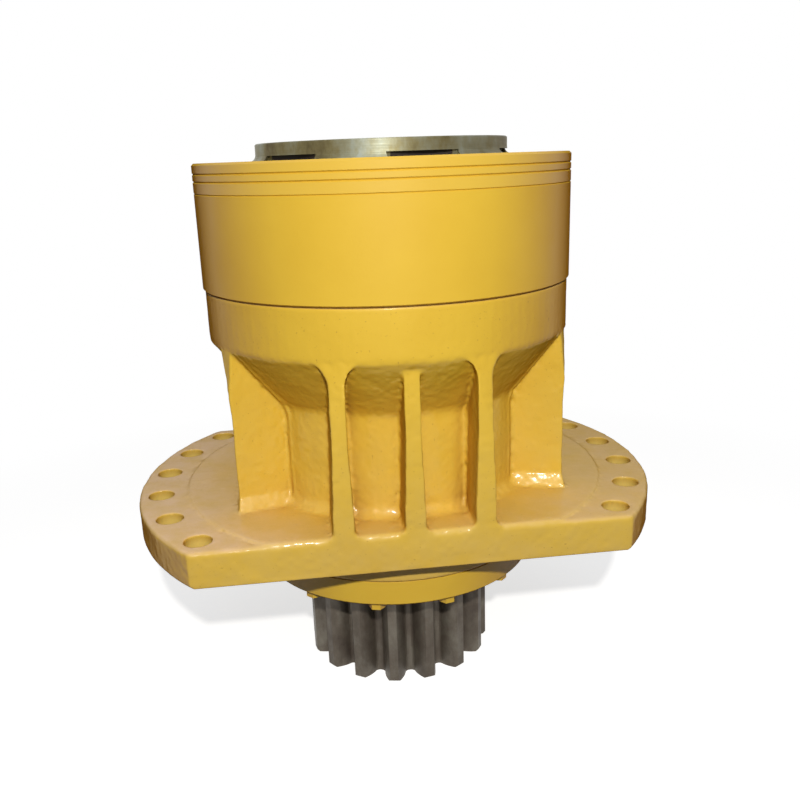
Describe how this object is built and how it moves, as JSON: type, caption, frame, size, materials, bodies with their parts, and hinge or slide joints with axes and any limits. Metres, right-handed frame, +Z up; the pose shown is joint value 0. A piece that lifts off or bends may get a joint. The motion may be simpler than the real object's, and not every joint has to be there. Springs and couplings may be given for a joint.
{
  "type": "swing motor gearbox",
  "caption": "Two-stage planetary swing reduction gearbox: ribbed casting on a flat-sided flange, round ring gear above and a spur pinion below",
  "frame": {"origin": "centre of the mounting flange's lower face, on the shaft's axis", "axes": "+Z up along the shaft from pinion to motor seat, -Y towards the front flat of the flange, +X towards the right-hand mounting holes"},
  "size_m": [0.545, 0.3894, 0.555],
  "materials": {
    "yellow_paint": "thick glossy enamel over cast iron, slightly lumpy, dull at the edges",
    "pinion_steel": "dark hardened steel, faint cutter lines along the teeth",
    "bright_steel": "ground bright steel",
    "gear_steel": "case-hardened ground steel",
    "black_oxide": "black oxide on alloy steel",
    "seal_rubber": "smooth black nitrile",
    "bronze": "plain bronze",
    "machined_iron": "machined bare iron"
  },
  "bodies": {
    "casing": {"casing": "yellow_paint", "bearing_retainer": "yellow_paint", "retainer_bolts": "yellow_paint", "retainer_washers": "yellow_paint", "retainer_o_ring": "seal_rubber", "oil_seal": "seal_rubber", "lower_bearing_cup": "bright_steel", "upper_bearing_cup": "bright_steel", "ring_gear": "yellow_paint", "casing_o_ring": "seal_rubber", "top_cover": "yellow_paint", "cover_o_ring": "seal_rubber", "cover_screws": "black_oxide", "dowel_pins": "bright_steel", "drain_plug": "bright_steel", "filler_plug": "bright_steel", "plug_washers": "bronze"},
    "lower_roller_set": {"lower_bearing_rollers": "bright_steel", "lower_bearing_cage": "bronze"},
    "upper_roller_set": {"upper_bearing_rollers": "bright_steel", "upper_bearing_cage": "bronze"},
    "output": {"pinion_shaft": "pinion_steel", "seal_sleeve": "bright_steel", "lower_bearing_cone": "bright_steel", "upper_bearing_cone": "bright_steel", "carrier_2": "machined_iron", "shaft_end_plate": "bright_steel", "end_plate_bolts": "black_oxide", "stage_2_pins": "bright_steel", "stage_2_lock_pins": "bright_steel", "stage_2_needles": "bright_steel", "stage_2_thrust_washers": "bronze", "carrier_thrust_ring": "bronze"},
    "first_carrier": {"carrier_1": "machined_iron", "sun_gear_2": "gear_steel", "sun_2_upper_snap_ring": "bright_steel", "sun_2_lower_snap_ring": "bright_steel", "thrust_button": "bronze", "stage_1_pins": "bright_steel", "stage_1_needles": "bright_steel", "stage_1_thrust_washers": "bronze", "stage_1_snap_rings": "bright_steel"},
    "input_sun": {"sun_gear_1": "gear_steel"},
    "second_planet_a": {"stage_2_planet_a": "gear_steel"},
    "first_planet_a": {"stage_1_planet_a": "gear_steel"},
    "second_planet_b": {"stage_2_planet_b": "gear_steel"},
    "first_planet_b": {"stage_1_planet_b": "gear_steel"},
    "second_planet_c": {"stage_2_planet_c": "gear_steel"},
    "first_planet_c": {"stage_1_planet_c": "gear_steel"}
  },
  "joints": [
    {"name": "output_spin", "type": "hinge", "parent": "casing", "child": "output", "pos_m": [0, 0, 0], "axis": [0, 0, 1], "continuous": true},
    {"name": "lower_rollers_spin", "type": "hinge", "parent": "casing", "child": "lower_roller_set", "pos_m": [0, 0, 0.0015], "axis": [0, 0, 1], "continuous": true},
    {"name": "upper_rollers_spin", "type": "hinge", "parent": "casing", "child": "upper_roller_set", "pos_m": [0, 0, 0.149], "axis": [0, 0, 1], "continuous": true},
    {"name": "first_carrier_spin", "type": "hinge", "parent": "casing", "child": "first_carrier", "pos_m": [0, 0, 0.3], "axis": [0, 0, 1], "continuous": true},
    {"name": "input_spin", "type": "hinge", "parent": "casing", "child": "input_sun", "pos_m": [0, 0, 0.34], "axis": [0, 0, 1], "continuous": true},
    {"name": "second_planet_a_spin", "type": "hinge", "parent": "output", "child": "second_planet_a", "pos_m": [0, 0.0975, 0.268], "axis": [0, 0, 1], "continuous": true},
    {"name": "first_planet_a_spin", "type": "hinge", "parent": "first_carrier", "child": "first_planet_a", "pos_m": [-0.07794, 0.045, 0.326], "axis": [0, 0, 1], "continuous": true},
    {"name": "second_planet_b_spin", "type": "hinge", "parent": "output", "child": "second_planet_b", "pos_m": [-0.08444, -0.04875, 0.268], "axis": [0, 0, 1], "continuous": true},
    {"name": "first_planet_b_spin", "type": "hinge", "parent": "first_carrier", "child": "first_planet_b", "pos_m": [0, -0.09, 0.326], "axis": [0, 0, 1], "continuous": true},
    {"name": "second_planet_c_spin", "type": "hinge", "parent": "output", "child": "second_planet_c", "pos_m": [0.08444, -0.04875, 0.268], "axis": [0, 0, 1], "continuous": true},
    {"name": "first_planet_c_spin", "type": "hinge", "parent": "first_carrier", "child": "first_planet_c", "pos_m": [0.07794, 0.045, 0.326], "axis": [0, 0, 1], "continuous": true}
  ],
  "couplings": [
    {"joint": "lower_rollers_spin", "follows": "output_spin", "ratio": 0.44666},
    {"joint": "upper_rollers_spin", "follows": "output_spin", "ratio": 0.44854},
    {"joint": "first_carrier_spin", "follows": "output_spin", "ratio": 3.7143},
    {"joint": "input_spin", "follows": "output_spin", "ratio": 17.829},
    {"joint": "second_planet_a_spin", "follows": "output_spin", "ratio": -3.1667},
    {"joint": "first_planet_a_spin", "follows": "output_spin", "ratio": -10.082},
    {"joint": "second_planet_b_spin", "follows": "output_spin", "ratio": -3.1667},
    {"joint": "first_planet_b_spin", "follows": "output_spin", "ratio": -10.082},
    {"joint": "second_planet_c_spin", "follows": "output_spin", "ratio": -3.1667},
    {"joint": "first_planet_c_spin", "follows": "output_spin", "ratio": -10.082}
  ]
}
